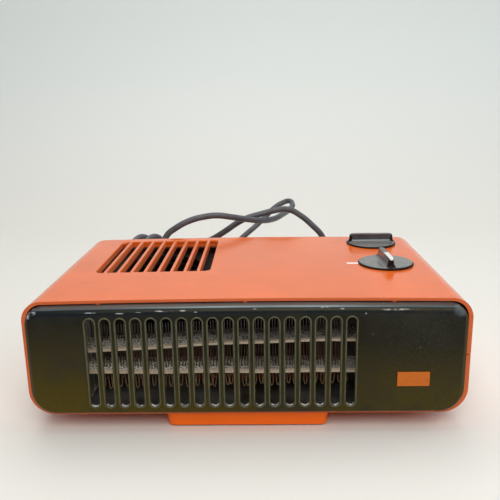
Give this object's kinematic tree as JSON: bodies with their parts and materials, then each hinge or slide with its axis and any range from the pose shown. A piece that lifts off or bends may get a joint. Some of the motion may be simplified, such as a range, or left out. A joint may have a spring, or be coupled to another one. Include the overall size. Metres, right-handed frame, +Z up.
{
  "type": "fan heater",
  "caption": "Low table-top fan heater: rounded split sleeve on a short foot, slotted front, ribbed top intake, mica element, scroll blower, finned control knobs, mains cord and plug.",
  "frame": {"origin": "on the table, under the middle of the casing, with the cord left out of that middle", "axes": "+X to the right as seen from the front, +Y to the back, +Z up; the slotted front faces -Y"},
  "size_m": [0.3716, 0.4137, 0.1401],
  "materials": {
    "orange_casing": "glossy moulded plastic",
    "black_plastic": "satin gloss",
    "white_mark": "plain",
    "badge": "plain, left bare",
    "rubber": "matte",
    "zinc_steel": "zinc plated sheet",
    "bright_steel": "bright",
    "laminations": "varnished iron sheets",
    "mica": "pressed mica, speckled",
    "heating_wire": "oxidised",
    "bakelite": "moulded",
    "copper": "enamelled winding",
    "bronze": "sintered",
    "brass": "bright"
  },
  "bodies": {
    "heater": {"lower_shell": "orange_casing", "upper_shell": "orange_casing", "front_grille": "black_plastic", "badge_plate": "badge", "index_mark": "white_mark", "foot": "orange_casing", "foot_pad_1": "rubber", "foot_pad_2": "rubber", "foot_pad_3": "rubber", "foot_pad_4": "rubber", "foot_screw_1": "bright_steel", "foot_screw_2": "bright_steel", "foot_screw_3": "bright_steel", "foot_screw_4": "bright_steel", "casing_screw_1": "bright_steel", "casing_screw_2": "bright_steel", "casing_screw_3": "bright_steel", "casing_screw_4": "bright_steel", "thermostat_body": "bakelite", "thermostat_nut": "bright_steel", "switch_body": "bakelite", "switch_nut": "bright_steel", "control_bracket": "zinc_steel", "heater_duct": "zinc_steel", "mica_board_upper": "mica", "mica_board_lower": "mica", "element_wire": "heating_wire", "thermal_cutout": "bakelite", "blower_scroll": "zinc_steel", "blower_cover": "zinc_steel", "motor_stator": "laminations", "motor_coil": "copper", "motor_bridge_upper": "zinc_steel", "motor_bridge_lower": "zinc_steel", "bearing_upper": "bronze", "bearing_lower": "bronze", "motor_screw_1": "bright_steel", "motor_screw_2": "bright_steel", "terminal_block": "bakelite", "cord_gland": "rubber", "cord_run": "rubber", "cord_coil": "rubber", "cord_end": "rubber", "plug_body": "rubber", "plug_pin_1": "brass", "plug_pin_2": "brass"},
    "thermostat_dial": {"thermostat_knob": "black_plastic", "thermostat_pointer": "white_mark", "thermostat_spindle": "bright_steel"},
    "switch_dial": {"switch_knob": "black_plastic", "switch_pointer": "white_mark", "switch_spindle": "bright_steel"},
    "blower_rotor": {"fan_wheel": "black_plastic", "motor_shaft": "bright_steel", "motor_rotor": "laminations"}
  },
  "joints": [
    {"name": "thermostat_turn", "type": "hinge", "parent": "heater", "child": "thermostat_dial", "pos_m": [0.134, -0.00405, 0.1175], "axis": [0, 0, 1], "range_deg": [0, 270]},
    {"name": "switch_turn", "type": "hinge", "parent": "heater", "child": "switch_dial", "pos_m": [0.134, 0.08045, 0.1175], "axis": [0, 0, 1], "range_deg": [-270, 0]},
    {"name": "fan_spin", "type": "hinge", "parent": "heater", "child": "blower_rotor", "pos_m": [-0.09, 0.03795, 0.08], "axis": [0, 0, 1], "continuous": true}
  ]
}
